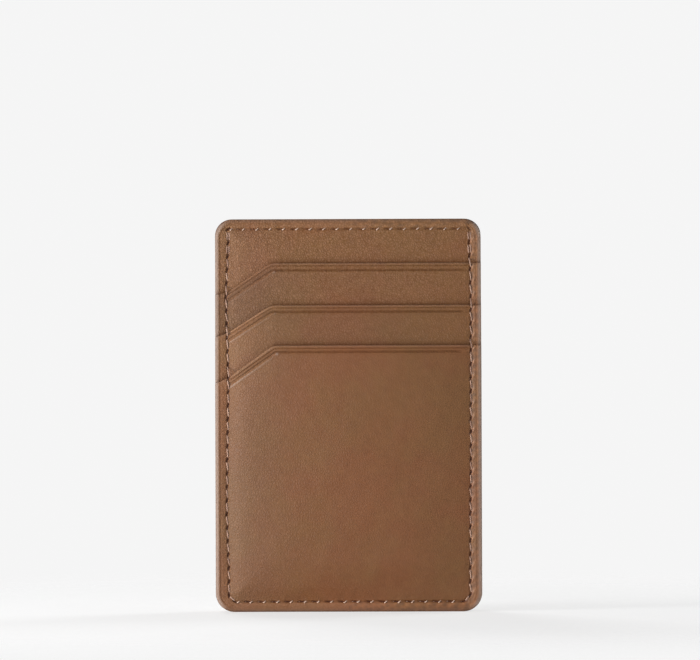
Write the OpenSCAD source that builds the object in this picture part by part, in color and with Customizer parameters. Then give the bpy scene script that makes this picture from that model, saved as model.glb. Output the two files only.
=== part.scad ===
// Stick-on leather card wallet: three stepped card pockets on a stiffened body,
// sewn together round the edge, with an adhesive pad on the back.
// It stands upright with X to the right and Z up. The pocket mouths face -Y,
// and the adhesive face lies at Y = 0 with the origin at its centre.

/* [Outline] */
// Width of the wallet
wallet_w = 64; // [56:0.2:90]
// Height of the wallet
wallet_h = 94.4; // [76:0.2:130]
// Radius of the four outer corners
corner_r = 4; // [3:0.1:7]

/* [Layers] */
// Thickness of the adhesive pad
pad_t = 0.5; // [0.4:0.05:1]
// Thickness of the leather back panel
back_t = 0.6; // [0.5:0.05:1.2]
// Thickness of the stiffener board
board_t = 0.4; // [0.2:0.05:1]
// Thickness of the leather body panel behind the pockets
body_t = 0.7; // [0.5:0.05:1.2]
// Thickness of the rear pocket panel
rear_t = 0.6; // [0.5:0.05:1.2]
// Thickness of the middle pocket panel
middle_t = 0.6; // [0.5:0.05:1.2]
// Thickness of the front pocket panel
front_t = 0.7; // [0.5:0.05:1.2]
// Room in each pocket for one 0.76 mm card, set by the welts
card_gap = 0.9; // [0.8:0.05:2.5]

/* [Pocket mouths] */
// Rear mouth below the top edge
rear_mouth = 10.6; // [8:0.05:14]
// Middle mouth below the top edge
middle_mouth = 20.75; // [17:0.05:26]
// Front mouth below the top edge
front_mouth = 30.4; // [27:0.05:38]
// Where the rear cut leaves its mouth, from the left edge
rear_cut_in = 13.3; // [9:0.05:20]
// Where the middle cut leaves its mouth, from the left edge
middle_cut_in = 13.45; // [9:0.05:20]
// Where the front cut leaves its mouth, from the left edge
front_cut_in = 14; // [9:0.05:20]
// Fall of the rear cut from the mouth to the seam
rear_fall = 7; // [4:0.1:10]
// Fall of the middle cut from the mouth to the seam
middle_fall = 6.7; // [4:0.1:10]
// Fall of the front cut from the mouth to the seam
front_fall = 7.9; // [4:0.1:10]
// Further fall of the rear cut from the seam to the left edge
rear_margin_fall = 0.6; // [0:0.05:2]
// Further fall of the middle cut from the seam to the left edge
middle_margin_fall = 0.95; // [0:0.05:2]
// Further fall of the front cut from the seam to the left edge
front_margin_fall = 1.3; // [0:0.05:2]
// Rounding where the cut leaves the mouth
cut_r = 2; // [0.5:0.1:4]
// Fold line below the mouth, to its upper side
fold_in = 0.5; // [0.3:0.05:0.7]
// Width of the fold line
fold_w = 0.25; // [0.15:0.05:0.4]
// Depth of the fold line
fold_depth = 0.1; // [0.05:0.01:0.25]
// Crease line below the mouth, to its upper side
crease_in = 1.35; // [0.8:0.05:2.5]
// Width of the crease
crease_w = 0.45; // [0.3:0.05:0.8]
// Depth of the crease
crease_depth = 0.15; // [0.05:0.01:0.25]

/* [Seam] */
// Seam line from the left and right edges
seam_side = 2.9; // [2:0.1:4]
// Seam line from the top and bottom edges
seam_end = 2.4; // [2:0.1:4]
// Length that a corner stitch cuts off each lower corner of the seam
seam_corner = 1.6; // [1.3:0.1:3]
// Length from one needle hole to the next
stitch_pitch = 3.25; // [2:0.05:5]
// Bare length between two stitches at each needle hole
hole_gap = 1.1; // [0.4:0.05:1.5]
// Thread diameter
thread_d = 0.45; // [0.3:0.05:0.6]
// Play between the thread and the sides of its channel
channel_play = 0.15; // [0.05:0.05:0.4]

/* [Welts] */
// Width of the welt strips along the left and right edges
welt_side_w = 4.4; // [3.5:0.1:7]
// Width of the welt strip along the bottom edge
welt_foot_w = 3.5; // [3:0.1:7]
// Welts end this far below the mouth that hides them
welt_setback = 0.8; // [0.2:0.1:3]
// Gap left where a side strip butts against the foot strip
welt_butt = 0.2; // [0.1:0.05:1]

/* [Back] */
// Bare margin of leather round the adhesive pad
pad_margin = 4.6; // [4:0.1:12]
// Corner radius of the adhesive pad
pad_r = 3; // [1:0.1:8]

/* [Hidden] */
$fn = 64;
half_w = wallet_w / 2;
half_h = wallet_h / 2;
// Cutting shapes run past the outline by this much
spill = 1;
// Rounding kept at the corner of a cut that is moved in
least_r = 0.2;
// Needle and bobbin threads lie this far off the channel floor
thread_lift = 0.01;
// Share of the thread's diameter left at the two ends of a stitch
tip_share = 0.5;

MOUTH = [rear_mouth, middle_mouth, front_mouth];
CUT_IN = [rear_cut_in, middle_cut_in, front_cut_in];
FALL = [rear_fall, middle_fall, front_fall];
MARGIN_FALL = [rear_margin_fall, middle_margin_fall, front_margin_fall];
THICK = [rear_t, middle_t, front_t];

seam_x = half_w - seam_side;
seam_y = half_h - seam_end;
channel_w = thread_d + channel_play;
channel_depth = thread_d / 2;

// Faces of the layers, measured forward from the adhesive face
back_z = pad_t;
board_z = back_z + back_t;
body_z = board_z + board_t;
body_face_z = body_z + body_t;

leather_brown = [0.51, 0.35, 0.25];
edge_brown = [0.42, 0.28, 0.20];
thread_tan = [0.66, 0.49, 0.41];
board_grey = [0.55, 0.50, 0.44];
pad_grey = [0.86, 0.86, 0.84];

function sum_first(v, n) = n <= 0 ? 0 : v[n - 1] + sum_first(v, n - 1);

// Back face and front face of a pocket panel, 0 rear, 1 middle, 2 front
function pocket_z(i) = body_face_z + (i + 1) * card_gap + sum_first(THICK, i);
function pocket_face_z(i) = pocket_z(i) + THICK[i];

// Front face at a level: 0 is the body panel, 1 to 3 are the pockets
function face_z(level) = level == 0 ? body_face_z : pocket_face_z(level - 1);

function mouth_y(i) = half_h - MOUTH[i];
function cut_x(i) = CUT_IN[i] - half_w;
function cut_angle(i) = atan(FALL[i] / (CUT_IN[i] - seam_side));
function margin_slope(i) = MARGIN_FALL[i] / seam_side;

// Height of a pocket's slanting cut at x, moved in by d square to the cut
function cut_y(i, x, d) = mouth_y(i) - (cut_x(i) - x) * tan(cut_angle(i)) - d / cos(cut_angle(i));

// Height of a pocket's upper edge at x
function edge_y(i, x) =
    x >= cut_x(i) ? mouth_y(i) :
    x >= -seam_x ? cut_y(i, x, 0) :
    cut_y(i, -seam_x, 0) - (-seam_x - x) * margin_slope(i);

// Corner between the cut and the mouth, both moved in by d
function cut_corner(i, d) = [cut_x(i) + d * tan(cut_angle(i) / 2), mouth_y(i) - d];

// How many pockets lie over a point
function level_at(p) = len([for (i = [0:len(MOUTH) - 1]) if (p.y < edge_y(i, p.x)) i]);

module stand_up() {
    rotate([90, 0, 0])
        children();
}

module layer(z, t) {
    translate([0, 0, z])
        linear_extrude(t)
            children();
}

module rounded_rect(w, h, r) {
    square([w - 2 * r, h], center = true);
    square([w, h - 2 * r], center = true);
    for (x = [-1, 1], y = [-1, 1])
        translate([x * (w / 2 - r), y * (h / 2 - r)])
            circle(r);
}

module wallet_outline() {
    rounded_rect(wallet_w, wallet_h, corner_r);
}

// Outline of a pocket panel, with its upper edge moved in by d
module pocket_outline(i, d = 0) {
    a = cut_angle(i);
    r = max(cut_r - d, least_r);
    centre = cut_corner(i, d) + [r * tan(a / 2), -r];
    seam_edge_y = cut_y(i, -seam_x, d);
    intersection() {
        wallet_outline();
        union() {
            polygon([
                [-half_w - spill, seam_edge_y - (seam_side + spill) * margin_slope(i)],
                [-seam_x, seam_edge_y],
                centre + r * [-sin(a), cos(a)],
                centre + [0, r],
                [half_w + spill, mouth_y(i) - d],
                [half_w + spill, -half_h - spill],
                [-half_w - spill, -half_h - spill]
            ]);
            translate(centre)
                circle(r);
        }
    }
}

// Line pressed along a pocket's mouth and cut, from seam to seam
module pressed_line(i, upper, width) {
    lower = upper + width;
    end_x = seam_x - channel_w;
    polygon([
        [end_x, mouth_y(i) - upper],
        cut_corner(i, upper),
        [-end_x, cut_y(i, -end_x, upper)],
        [-end_x, cut_y(i, -end_x, lower)],
        cut_corner(i, lower),
        [end_x, mouth_y(i) - lower]
    ]);
}

// The seam's path, square at the top and cut across below, moved out by d
function seam_path(d) =
    let (x = seam_x + d, y = seam_y + d, c = seam_corner + d * (2 - sqrt(2)))
    [
        [-x, y], [x, y], [x, c - y],
        [x - c, -y], [c - x, -y], [-x, c - y]
    ];

// Needle holes along one side of the path, evenly spread near the pitch
function holes_along(p, q) =
    let (n = max(1, round(norm(q - p) / stitch_pitch)))
    [for (k = [0:n - 1]) p + (q - p) * k / n];

HOLES = let (path = seam_path(0))
    [for (k = [0:len(path) - 1]) each holes_along(path[k], path[(k + 1) % len(path)])];

module seam_channel() {
    difference() {
        polygon(seam_path(channel_w / 2));
        polygon(seam_path(-channel_w / 2));
    }
}

// Thread channel where the face at a level shows, cut down from that face
module face_channel(level) {
    layer(face_z(level) - channel_depth, channel_depth + spill)
        difference() {
            seam_channel();
            if (level < len(MOUTH))
                pocket_outline(level);
        }
}

// One stitch between two holes, centred at z and tapered where it dives
module stitch(p, q, z) {
    half_len = (norm(q - p) - hole_gap) / 2;
    full_len = half_len - thread_d / 2;
    r = thread_d / 2;
    tip_r = r * tip_share;
    translate([(p.x + q.x) / 2, (p.y + q.y) / 2, z])
        rotate([0, 0, atan2(q.y - p.y, q.x - p.x)])
            rotate([0, 90, 0])
                rotate_extrude()
                    polygon([
                        [0, -half_len], [tip_r, -half_len], [r, -full_len],
                        [r, full_len], [tip_r, half_len], [0, half_len]
                    ]);
}

module pocket_panel(i) {
    difference() {
        layer(pocket_z(i), THICK[i])
            pocket_outline(i);
        layer(pocket_face_z(i) - fold_depth, fold_depth + spill)
            pressed_line(i, fold_in, fold_w);
        layer(pocket_face_z(i) - crease_depth, crease_depth + spill)
            pressed_line(i, crease_in, crease_w);
        face_channel(i + 1);
    }
}

// Two side strips and a foot strip between a pocket and the layer behind it
module pocket_welt(i) {
    z = pocket_z(i) - card_gap;
    foot_top = welt_foot_w - half_h;
    side_w = welt_side_w + spill;
    for (x = [-half_w - spill, half_w - welt_side_w])
        layer(z, card_gap)
            intersection() {
                pocket_outline(i, welt_setback);
                translate([x, foot_top + welt_butt])
                    square([side_w, wallet_h]);
            }
    layer(z, card_gap)
        intersection() {
            wallet_outline();
            translate([-half_w - spill, -half_h - spill])
                square([wallet_w + 2 * spill, welt_foot_w + spill]);
        }
}

module adhesive_pad() {
    color(pad_grey)
        stand_up()
            layer(0, pad_t)
                rounded_rect(wallet_w - 2 * pad_margin, wallet_h - 2 * pad_margin, pad_r);
}

module back_panel() {
    color(leather_brown)
        stand_up()
            difference() {
                layer(back_z, back_t)
                    wallet_outline();
                layer(back_z - spill, spill + channel_depth)
                    seam_channel();
            }
}

module stiffener_board() {
    color(board_grey)
        stand_up()
            layer(board_z, board_t)
                wallet_outline();
}

module body_panel() {
    color(leather_brown)
        stand_up()
            difference() {
                layer(body_z, body_t)
                    wallet_outline();
                face_channel(0);
            }
}

module rear_welt() {
    color(edge_brown)
        stand_up()
            pocket_welt(0);
}

module rear_pocket() {
    color(leather_brown)
        stand_up()
            pocket_panel(0);
}

module middle_welt() {
    color(edge_brown)
        stand_up()
            pocket_welt(1);
}

module middle_pocket() {
    color(leather_brown)
        stand_up()
            pocket_panel(1);
}

module front_welt() {
    color(edge_brown)
        stand_up()
            pocket_welt(2);
}

module front_pocket() {
    color(leather_brown)
        stand_up()
            pocket_panel(2);
}

// Front stitches step up with the pockets: each lies on the higher of its ends
module needle_thread() {
    rise = thread_d / 2 + thread_lift - channel_depth;
    color(thread_tan)
        stand_up()
            for (k = [0:len(HOLES) - 1]) {
                p = HOLES[k];
                q = HOLES[(k + 1) % len(HOLES)];
                stitch(p, q, face_z(max(level_at(p), level_at(q))) + rise);
            }
}

module bobbin_thread() {
    z = back_z + channel_depth - thread_lift - thread_d / 2;
    color(thread_tan)
        stand_up()
            for (k = [0:len(HOLES) - 1])
                stitch(HOLES[k], HOLES[(k + 1) % len(HOLES)], z);
}

adhesive_pad();
back_panel();
stiffener_board();
body_panel();
rear_welt();
rear_pocket();
middle_welt();
middle_pocket();
front_welt();
front_pocket();
needle_thread();
bobbin_thread();
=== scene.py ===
import math

import bpy
import numpy as np
from mathutils import Matrix, Vector


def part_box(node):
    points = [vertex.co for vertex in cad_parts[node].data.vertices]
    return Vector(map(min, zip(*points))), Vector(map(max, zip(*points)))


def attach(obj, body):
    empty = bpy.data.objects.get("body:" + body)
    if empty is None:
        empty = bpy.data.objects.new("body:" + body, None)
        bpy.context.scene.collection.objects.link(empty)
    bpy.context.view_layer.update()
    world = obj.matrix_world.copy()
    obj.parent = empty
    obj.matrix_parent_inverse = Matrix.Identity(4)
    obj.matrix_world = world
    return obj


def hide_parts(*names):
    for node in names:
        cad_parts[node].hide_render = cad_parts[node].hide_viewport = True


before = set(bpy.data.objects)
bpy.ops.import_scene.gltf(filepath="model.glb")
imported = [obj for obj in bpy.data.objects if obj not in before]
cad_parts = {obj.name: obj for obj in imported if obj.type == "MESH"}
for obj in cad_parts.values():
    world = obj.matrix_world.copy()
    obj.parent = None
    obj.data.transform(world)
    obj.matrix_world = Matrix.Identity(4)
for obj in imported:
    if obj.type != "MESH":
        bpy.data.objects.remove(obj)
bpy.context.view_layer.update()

# Lengths are in millimetres and become metres where a mesh is placed.
# Depth is measured forward from the adhesive face, so y = -depth.
MM = 0.001


def box_mm(node):
    low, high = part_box(node)
    return np.array(low) / MM, np.array(high) / MM


def depths(node):
    """Depths of a CAD node's rear and front."""
    low, high = box_mm(node)
    return -high[1], -low[1]


# Outline and seam
HALF_W, _, HALF_H = box_mm("body_panel")[1]
CORNER_R = 4.6
SEAM_SIDE, SEAM_END, SEAM_CORNER = 2.9, 2.4, 1.6
SEAM_X, SEAM_Z = HALF_W - SEAM_SIDE, HALF_H - SEAM_END
STITCH_PITCH = 3.25
DOUBLED_Z = SEAM_Z - 2 * STITCH_PITCH

# How far the hand-guided seam drifts to the right, at some heights of each side
DRIFT_Z = (-37, -24, -10, 8, 29, 41)
LEFT_DRIFT = (0.3, -0.15, 0.0, 0.33, -0.27, 0.3)
RIGHT_DRIFT = (0.1, 0.16, 0.33, 0.36, 0.5, 0.15)
DRIFT_BAND = 1.1 * SEAM_CORNER

# Leather panels from the back of the pockets forward: level 0 is the body.
# A row of four numbers holds one for each level.
PANELS = ("body_panel", "rear_pocket", "middle_pocket", "front_pocket")
UNDER = ("stiffener_board", "rear_welt_leather", "middle_welt_leather", "front_welt_leather")
BACK = [depths(node)[0] for node in PANELS]
FACE = [depths(node)[1] for node in PANELS]
MOUTH_Z = [box_mm(node)[1][2] for node in PANELS]

# Slanting cut at the left of each mouth
CUT_X = [inset - HALF_W for inset in (0, 13.3, 13.45, 14.0)]
CUT_FALL = (0, 7.0, 6.7, 7.9)
CUT_SLOPE = [fall / (x + SEAM_X) for fall, x in zip(CUT_FALL, CUT_X)]
MARGIN_FALL = (0, 0.6, 0.95, 1.3)
MARGIN_SLOPE = [fall / SEAM_SIDE for fall in MARGIN_FALL]
CUT_BLEND, MARGIN_BLEND, SLANT_BLEND = 0.9, 0.3, 0.5

# How far sewing pulls each rim down, and how the leather rises inside it
RIM_PULL, BODY_RISE = (0.5, 0.5, 0.65, 0.72), 0.35
RISE_START, RISE_STRAIGHT, RISE_TAIL, RIGHT_SHARE = 0.9, 2.2, 1.8, 0.12
CROWN, CROWN_REACH = (0.35, 0.45, 0.55, 0.8), 10.0

# Waves in the leather: height, length and seed
SLACK, DENTS, PUCKERS = (0.045, 17, 10), (0.012, 4.5, 20), (0.02, 1.7, 30)
RIM_CLOUDS, WRINKLES, PAD_WAVES = (0.2, 1.8, 40), (0.012, 2.4, 50), (0.012, 9, 61)
SLACK_START, PUCKER_REACH = 6, 1.6
WRINKLE_STRETCH, WRINKLED_X = 2.0, (-10, -24)
WAVE_COUNT, WAVE_SPREAD = 9, (0.6, 1.5)

# Needle holes: how the slits lie, and the dimple, burr and flare at each
SLIT_TURN, END_SLIT_TURN, FLARE_TURN = np.radians((-18, -5, 58))
SLIT_WIDTH, END_SLIT_WIDTH, END_SLIT_STRETCH = 0.23, 0.17, 1.5
SLIT_DEEP, TOP_SLIT_SHARE = 0.24, 0.65
DIMPLE_DEEP, DIMPLE_R = 0.06, 0.8
BURR_RISE, BURR_AT, BURR_WIDTH, BURR_LENGTH = 0.07, 0.42, 0.16, 0.5
FLARE_RISE, FLARE_AT, FLARE_LENGTH, FLARE_WIDTH = 0.16, (0.55, 0.5), 0.75, 0.26
HOLE_REACH = 2.2

# Relief of rim and edge; the seam's groove is a narrow line in a wide one
RIM_TILT, RIGHT_RIM_CURL, RIM_BLEND, SIDE_BLEND = 0.1, 0.07, 0.5, 2
SEAM_GROOVE = ((0.13, 0.3), (0.025, 0.9))
EDGE_ROUND, EDGE_FALL = 0.9, (0.5, 0.42, 0.42, 0.55)
EDGE_CREASE, EDGE_CREASE_DEEP, EDGE_CREASE_WIDTH = 1.22, 0.05, 0.2

# Dark lines along seam and edge, how dark and how wide: painted shade in the seam's groove and
# along the doubled stitches, and in the edge crease, which is partly its own darker colour.
SEAM_DARK, TOP_SEAM_DARK, FOOT_SEAM_DARK = 0.2, 0.25, 0.4
SEAM_LINE, SEAM_END_BAND = (0.3, 0.18), (SEAM_Z - 1.2, SEAM_Z - 0.6)
DOUBLED_DARK, DOUBLED_LINE, DOUBLED_BLEND = 0.7, 0.16, 0.4
EDGE_CREASE_DARK, EDGE_CREASE_LINE = 0.6, 0.22
# Painted shade on the top and bottom edges, which the light from the side misses
END_EDGE_DARK, END_EDGE_LINE = 0.85, 0.95
# A dark line on each side edge, how dark, how far in and how wide: on the left at the very rim, on the
# right painted shade
LEFT_EDGE_DARK, RIGHT_EDGE_SHADE = (0.95, 0, 0.4), (0.65, 0.65, 0.42)

# Pale edge and rim, part wear and part painted highlight, painted sheen on the left, and the spans of
# the sides' painted light
# The ends and the right edge, which the light misses, get less of the edge's painted highlight
EDGE_WEAR_AND_HIGHLIGHT, EDGE_PALE_LINE, RIGHT_EDGE_SHADED = (0.25, 1.0), 0.8, 0.9
# The right rim gets more painted highlight, the left side painted sheen and the flares painted highlight
RIM_WORN, RIGHT_RIM_HIGHLIGHT, LEFT_SHEEN, FLARE_PALE_HIGHLIGHT = 0.05, 0.09, 0.07, 0.3
LEFT_X, RIGHT_X = (-8, -28), (4, 26)

# Relief of the mouths: fold and crease with a strip between, a roll below, a hook
# at the bend. A pair holds a value for the level run and one for the slant, HOOK_AT a place.
MOUTH_ROUND, LIP_DROP, LIP_REACH = 0.36, 0.3, 2.6
MOUTH_FOLD, MOUTH_CREASE = (0, 0.6, 0.6, 0.68), (0, 1.72, 1.56, 1.56)
SLANT_SHIFT, CREASE_CLOSE = (0, 0.05, 0.0, 0.12), (0, 0.05, 0.0, 0.1)
CREASE_STOP, CREASE_FADE = (0, -0.5, 0.1, 0.9), 2.2
CREASING, SEWN_BLEND = (1.1, 0.85), 0.7
FOLD_DEEP, FOLD_WIDTH = 0.14, 0.14
CREASE_DEEP, CREASE_WIDTH = 0.2, (0.19, 0.24)
STRIP_RISE, STRIP_WIDTH = 0.03, 0.2
ROLL_RISE, ROLL_AT, ROLL_WIDTH = 0.08, (0.5, 0.62), 0.26
HOOK_RISE, HOOK_AT, HOOK_R = 0.13, (0.9, 0.45), 0.34

# Wear and painted highlights, painted light and dark lines of the mouths, and the painted shade on the
# panel behind each
# The bead is pale from wear and painted highlight, more on the slant; the roll and the hook get painted
# highlights
BEAD_WIDTH, BEAD_WEAR, SLANT_BEAD_HIGHLIGHT = 0.42, 0.2, (0, 0.15, 0.25, 0.25)
ROLL_HIGHLIGHT, ROLL_HIGHLIGHT_WIDTH, ROLL_HIGHLIGHT_RUN = (0, 0.25, 0.4, 0.6), 0.24, (0.4, 1.0)
HOOK_HIGHLIGHT = (0, 0.4, 0.3, 0.75)
# Painted light on the bead and on the strip below the mouth, and painted sheen near the left end of a
# slant
BEAD_HIGHLIGHT, STRIP_PAINTED_LIGHT = (0, 0.1, 0.15, 0.08), 0.06
SLANT_SHEEN, SLANT_SHEEN_X, SLANT_SHEEN_REACH = (0, 0, 0.1, 0.1), (-16, -28), 8
# Dark fold and crease lines: partly the creases' own colour, partly painted shade, stronger on the slant
FOLD_DARK, SLANT_FOLD_DARK = 0.5, (0, 0.75, 0.65, 1.1)
CREASE_DARK, SLANT_CREASE_DARK, CREASE_LINE = 0.75, (0, 0.32, 0.15, 0.3), (0.2, 0.26)
# Painted shade on the strip between fold and crease along the slant
STRIP_SHADE, STRIP_SHADE_WIDTH = (0, 0.3, 0.45, 0.4), 0.4
SHADE_DARK, SHADE_REACH, SLANT_LIT, LIT_BLEND = 1.45, 0.55, 0.75, 0.6

# How strongly the grain shows on each panel, how light and olive its dye is, and its painted light and
# shade
GRAIN, SIDE_GRAIN, BACK_GRAIN = (1.8, 1.7, 1.0, 0.25), (0.2, 0.25, 0.25, 3.2), 0.8
# Each panel's brightness, how much lighter the rims are, and the painted highlight on the flares
DYE, RIM_LIGHTER, FLARE_BRIGHT_HIGHLIGHT = (1.0, 0.92, 0.84, 0.91), 0.13, 0.65
# Painted light and shade toward the left and right, where the lamps light the panels unevenly
LEFT_PAINTED_SHADING, RIGHT_PAINTED_SHADING = (-0.06, -0.19, 0.06, -0.07), (0, 0.06, 0.09, -0.05)
OLIVE, RIM_OLIVE = (0.1, 0.05, 0.1, -0.15), 0.1
# Olive toward the front's left is painted sheen; toward the right the panels are more olive
LEFT_SHEEN_OLIVE, RIGHT_OLIVE = (0, 0, 0, 0.55), (0.1, 0.5, 0.6, 0.1)

# Grid: gaps between its lines, points round an edge, and how far in each gap is used
CREASE_GAP, RIM_GAP, SEAM_GAP, INNER_GAP = 0.08, 0.2, 0.11, 0.3
FACE_GAP, HIDDEN_GAP, BACK_GAP = 0.32, 4, 0.4
EDGE_TURNS, MOUTH_TURNS, CREASED_EDGE, CREASED_MOUTH = 8, 6, 1.5, 2.2
SEAM_BAND, REACH = 0.7, 6.0
FINE_TO = (18, 16, 16, 99)

# Rings on a panel's hidden side, measured in from its rim
BACK_RINGS = (0.0, SEAM_SIDE, SEAM_SIDE + 1.0, SEAM_SIDE + 2.5, SEAM_SIDE + 5.0)

# Rounding of lengths, samples along a mouth, and angles that are shaded smooth
DIGITS, SAMPLES, SMOOTH, WELT_SMOOTH = 6, 2001, 55, 50

# The back lies flat under the pad, inside the seam
BACK_FLAT, BACK_FLAT_BAND = 0.9, (0.9, 1.7)

# Welt strips: grid lines in from the edge, and how they are tucked in
SIDE_STEPS = (0, 0.05, 0.15, 0.3, 0.6, 1.4, 2.2, 2.9, 3.6, 4.1, 4.4)
FOOT_STEPS = (0, 0.05, 0.15, 0.3, 0.6, 1.2, 1.8, 2.4, 3.0, 3.5)
STRIP_ROWS, WELT_ROUND = 90, 0.16
WELT_TUCK, WELT_GAP, FOOT_GAP, MOUTH_TUCK = 0.04, 0.02, 0.2, 0.8

# Adhesive pad
PAD_CORNER_R, PAD_SOFT, PAD_TURNS = 3.0, 0.14, 6
PAD_RIM, PAD_RIM_GAP, PAD_GAP, PAD_START = 3.2, 0.25, 0.9, 1

# Stitches: a long one shows all along, a tick only near its first end.
# A pair holds where along the stitch a change starts and ends.
THREAD_R, THREAD_TAPER, TIP = 0.17, 0.2, 0.999
ALONG, AROUND, HALF_STITCH = 9, 7, 1.5
LONG_CROWDING, LONG_DIVE, LONG_SET, LONG_SINK = 0.8, (0.7, 1.5), 0.08, 0.7
TICK_CROWDING, TICK_DIVE, TICK_SET, TICK_SINK = 1.5, (1.0, 1.5), 0.04, 0.5
TICK_HIDE, TICK_END = 0.4, (-0.8, -0.4)
TICK_LEAN, LEAN_RUN, LEAN_BACK = 0.5, (-1.2, -0.6), (-0.4, 0.4)
STITCH_TURN, DOUBLED_TURN, DOUBLED_SHIFT = math.radians(9), 0.3, 0.28
STEP_RUN, LEVEL_RUN = (0.1, 1.2), 0.1

# Powers of lines with broad tops, and the seed of the sewing hand
BROAD, BROADER, HAND_SEED = 4, 6, 7


def ramp(value, start, end):
    """Rises smoothly from 0 at start to 1 at end."""
    t = np.clip((value - start) / (end - start), 0, 1)
    return t * t * (3 - 2 * t)


def mixed(pair, share):
    """Goes from the first of a pair to the second."""
    return pair[0] + (pair[1] - pair[0]) * share


def smooth_min(a, b, blend):
    share = np.clip(0.5 + 0.5 * (b - a) / blend, 0, 1)
    return b + (a - b) * share - blend * share * (1 - share)


def line(distance, at, width, power=2):
    """1 along a line and 0 away from it; a higher power broadens its top."""
    return np.exp(-(((distance - at) / width) ** power))


def round_off(distance, width, fall):
    """How far a rounded edge has dropped, this far in from its end."""
    inside = np.clip(1 - distance / width, 0, 1)
    return fall * (1 - np.sqrt(1 - inside**2))


def ripple(x, z, wave, level=0, stretch=1.0):
    """Gentle waves, other ones on each level, drawn out along z by stretch."""
    height, length, seed = wave
    draw = np.random.default_rng(seed + level)
    total = np.zeros_like(x)
    for _ in range(WAVE_COUNT):
        turn, phase = draw.uniform(0, 2 * np.pi, 2)
        rate = 2 * np.pi / (length * draw.uniform(*WAVE_SPREAD))
        total += np.sin(rate * (x * np.cos(turn) + z * np.sin(turn) / stretch) + phase)
    return height * (total / math.sqrt(WAVE_COUNT))


def top_edge(level, x, inset=0.0):
    """Height of a panel's upper edge at x, moved in square to itself."""
    flat = MOUTH_Z[level] - inset + 0 * x
    if level == 0:
        return flat
    slope = CUT_SLOPE[level]
    fall = np.hypot(1, slope) * inset
    cut = MOUTH_Z[level] - (CUT_X[level] - x) * slope - fall
    at_seam = MOUTH_Z[level] - CUT_FALL[level] - fall
    margin = at_seam + (x + SEAM_X) * MARGIN_SLOPE[level]
    return smooth_min(flat, -smooth_min(-cut, -margin, MARGIN_BLEND), CUT_BLEND)


def on_slant(level, x):
    """1 where a mouth is cut on the slant, 0 where it runs level."""
    return ramp(x, CUT_X[level] + SLANT_BLEND, CUT_X[level] - SLANT_BLEND)


def mouth_distance(level, x, z):
    """About how far a point lies below a panel's upper edge."""
    return (top_edge(level, x) - z) / np.hypot(1, on_slant(level, x) * CUT_SLOPE[level])


def seam_drift(x, z):
    return np.where(x < 0, np.interp(z, DRIFT_Z, LEFT_DRIFT), np.interp(z, DRIFT_Z, RIGHT_DRIFT))


def seam_inset(x, z, has_top):
    """Distance inside the seam line, less than nothing out on the rim."""
    side, foot = SEAM_X - np.sign(x) * (x - seam_drift(x, z)), SEAM_Z + z
    inset = np.minimum(side, foot)
    inset = np.minimum(inset, (side + foot - SEAM_CORNER) / math.sqrt(2))
    return np.minimum(inset, SEAM_Z - z) if has_top else inset


def needle_holes():
    """Points round the seam, clockwise from the top left."""
    x, z, c = SEAM_X, SEAM_Z, SEAM_CORNER
    path = [(-x, z), (x, z), (x, c - z), (x - c, -z), (c - x, -z), (-x, c - z)]
    holes = []
    for start, end in zip(path, path[1:] + path[:1]):
        start, end = np.array(start), np.array(end)
        count = max(1, round(np.linalg.norm(end - start) / STITCH_PITCH))
        holes += [start + (end - start) * k / count for k in range(count)]
    holes = np.array(holes)
    at_side = np.abs(holes[:, 0]) > SEAM_X - DRIFT_BAND
    holes[:, 0] += at_side * seam_drift(holes[:, 0], holes[:, 1])
    return holes


HOLES = needle_holes()
hand = np.random.default_rng(HAND_SEED)


def unsteady(low, high):
    """A value for each hole, as an unsteady hand leaves it."""
    return hand.uniform(low, high, len(HOLES))


HOLE_TILT = np.radians(unsteady(-6, 6))
HOLE_LENGTH = unsteady(0.5, 0.68)
STITCH_TILT = np.radians(unsteady(-4, 4))
STITCH_LIFT = unsteady(-0.05, 0.03)


def turned(direction, angle):
    c, s = math.cos(angle), math.sin(angle)
    return np.array((direction[0] * c - direction[1] * s, direction[0] * s + direction[1] * c))


def keep_most(mask, near, values):
    mask[near] = np.maximum(mask[near], values)


def hole_marks(x, z, facing):
    """Masks of the needle's slits, and of the dimple, burr and flare at each."""
    slit, dimple, burr, flare = (np.zeros_like(x) for _ in range(4))
    for k, hole in enumerate(HOLES):
        run = HOLES[(k + 1) % len(HOLES)] - HOLES[k - 1]
        on_end = abs(run[0]) > abs(run[1])
        lean = (END_SLIT_TURN if on_end else SLIT_TURN) + HOLE_TILT[k]
        length = HOLE_LENGTH[k] * (END_SLIT_STRETCH if on_end else 1)
        width = END_SLIT_WIDTH if on_end else SLIT_WIDTH
        share = TOP_SLIT_SHARE if on_end and hole[1] > 0 else 1
        way = turned(run / np.linalg.norm(run), lean * facing)
        near = (np.abs(x - hole[0]) < HOLE_REACH) & (np.abs(z - hole[1]) < HOLE_REACH)
        dx, dz = x[near] - hole[0], z[near] - hole[1]
        along, across = dx * way[0] + dz * way[1], dz * way[0] - dx * way[1]
        keep_most(slit, near, share * line(along, 0, length, BROAD) * line(across, 0, width, BROAD))
        keep_most(dimple, near, line(np.hypot(along, across), 0, DIMPLE_R))
        keep_most(burr, near, line(np.abs(across), BURR_AT, BURR_WIDTH) * line(along, 0, BURR_LENGTH))
        if facing > 0 and hole[0] > SEAM_X - SEAM_CORNER / 2 and not on_end:
            away = turned((dx - FLARE_AT[0], dz - FLARE_AT[1]), -FLARE_TURN)
            keep_most(flare, near, line(away[0], 0, FLARE_LENGTH) * line(away[1], 0, FLARE_WIDTH))
    return slit, dimple, burr, flare


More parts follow.
